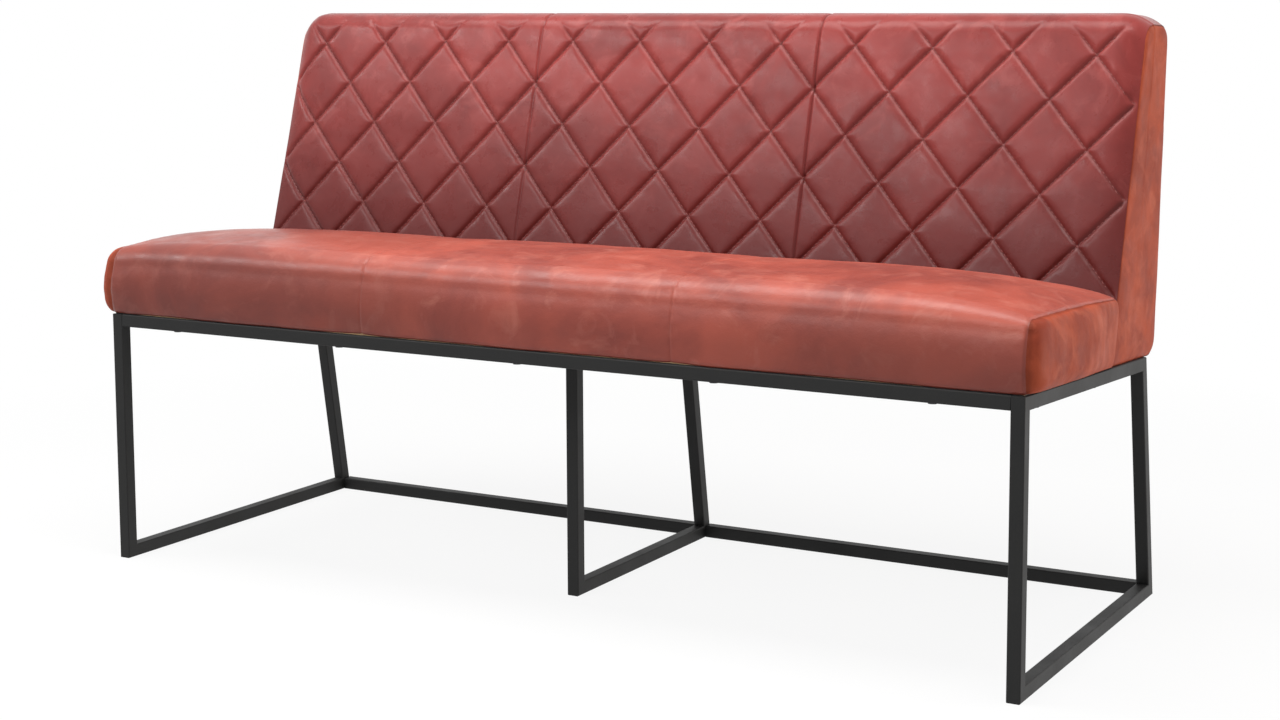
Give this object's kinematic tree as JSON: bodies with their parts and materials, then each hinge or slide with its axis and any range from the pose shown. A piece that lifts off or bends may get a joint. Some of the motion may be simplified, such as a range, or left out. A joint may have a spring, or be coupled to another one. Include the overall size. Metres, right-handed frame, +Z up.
{
  "type": "dining bench",
  "caption": "Upholstered dining bench with a diamond-quilted leather back, a plump leather seat and a black square-tube steel frame on floor runners.",
  "frame": {"origin": "centre of the footprint box on the floor", "axes": "+X along the bench to the right as seen from the front, +Y from the front to the rear, +Z up"},
  "size_m": [1.58, 0.6178, 0.8858],
  "materials": {
    "black_steel": "matte powder coat",
    "screw_steel": "black zinc plated",
    "timber": "raw softwood and plywood",
    "black_cloth": "woven",
    "foam": "cut upholstery foam",
    "leather": "waxed red brown leather",
    "end_leather": "waxed red brown leather",
    "quilted_leather": "waxed red brown leather stitched to wadding"
  },
  "bodies": {
    "root": {"back_bottom_board_left": "timber", "back_bottom_board_right": "timber", "back_cover_left": "quilted_leather", "back_cover_middle": "quilted_leather", "back_cover_right": "quilted_leather", "back_foam": "foam", "back_panel": "timber", "back_post_left": "timber", "back_post_middle": "timber", "back_post_right": "timber", "back_rear_cover": "leather", "back_side_panel_left": "end_leather", "back_side_panel_right": "end_leather", "back_top_board_left": "timber", "back_top_board_right": "timber", "cross_rail_middle": "black_steel", "floor_runner_left": "black_steel", "floor_runner_middle": "black_steel", "floor_runner_right": "black_steel", "floor_stretcher_left": "black_steel", "floor_stretcher_right": "black_steel", "front_leg_left": "black_steel", "front_leg_middle": "black_steel", "front_leg_right": "black_steel", "front_rail": "black_steel", "front_screws": "screw_steel", "rear_leg_left": "black_steel", "rear_leg_middle": "black_steel", "rear_leg_right": "black_steel", "rear_rail": "black_steel", "rear_screws": "screw_steel", "seat_base_front_board": "timber", "seat_base_left_board": "timber", "seat_base_middle_board": "timber", "seat_base_rear_board": "timber", "seat_base_right_board": "timber", "seat_cover_left": "leather", "seat_cover_middle": "leather", "seat_cover_right": "leather", "seat_dust_cover": "black_cloth", "seat_end_panel_left": "end_leather", "seat_end_panel_right": "end_leather", "seat_foam": "foam", "seat_webbing": "black_cloth", "side_rail_left": "black_steel", "side_rail_right": "black_steel", "side_screws": "screw_steel"}
  },
  "joints": []
}
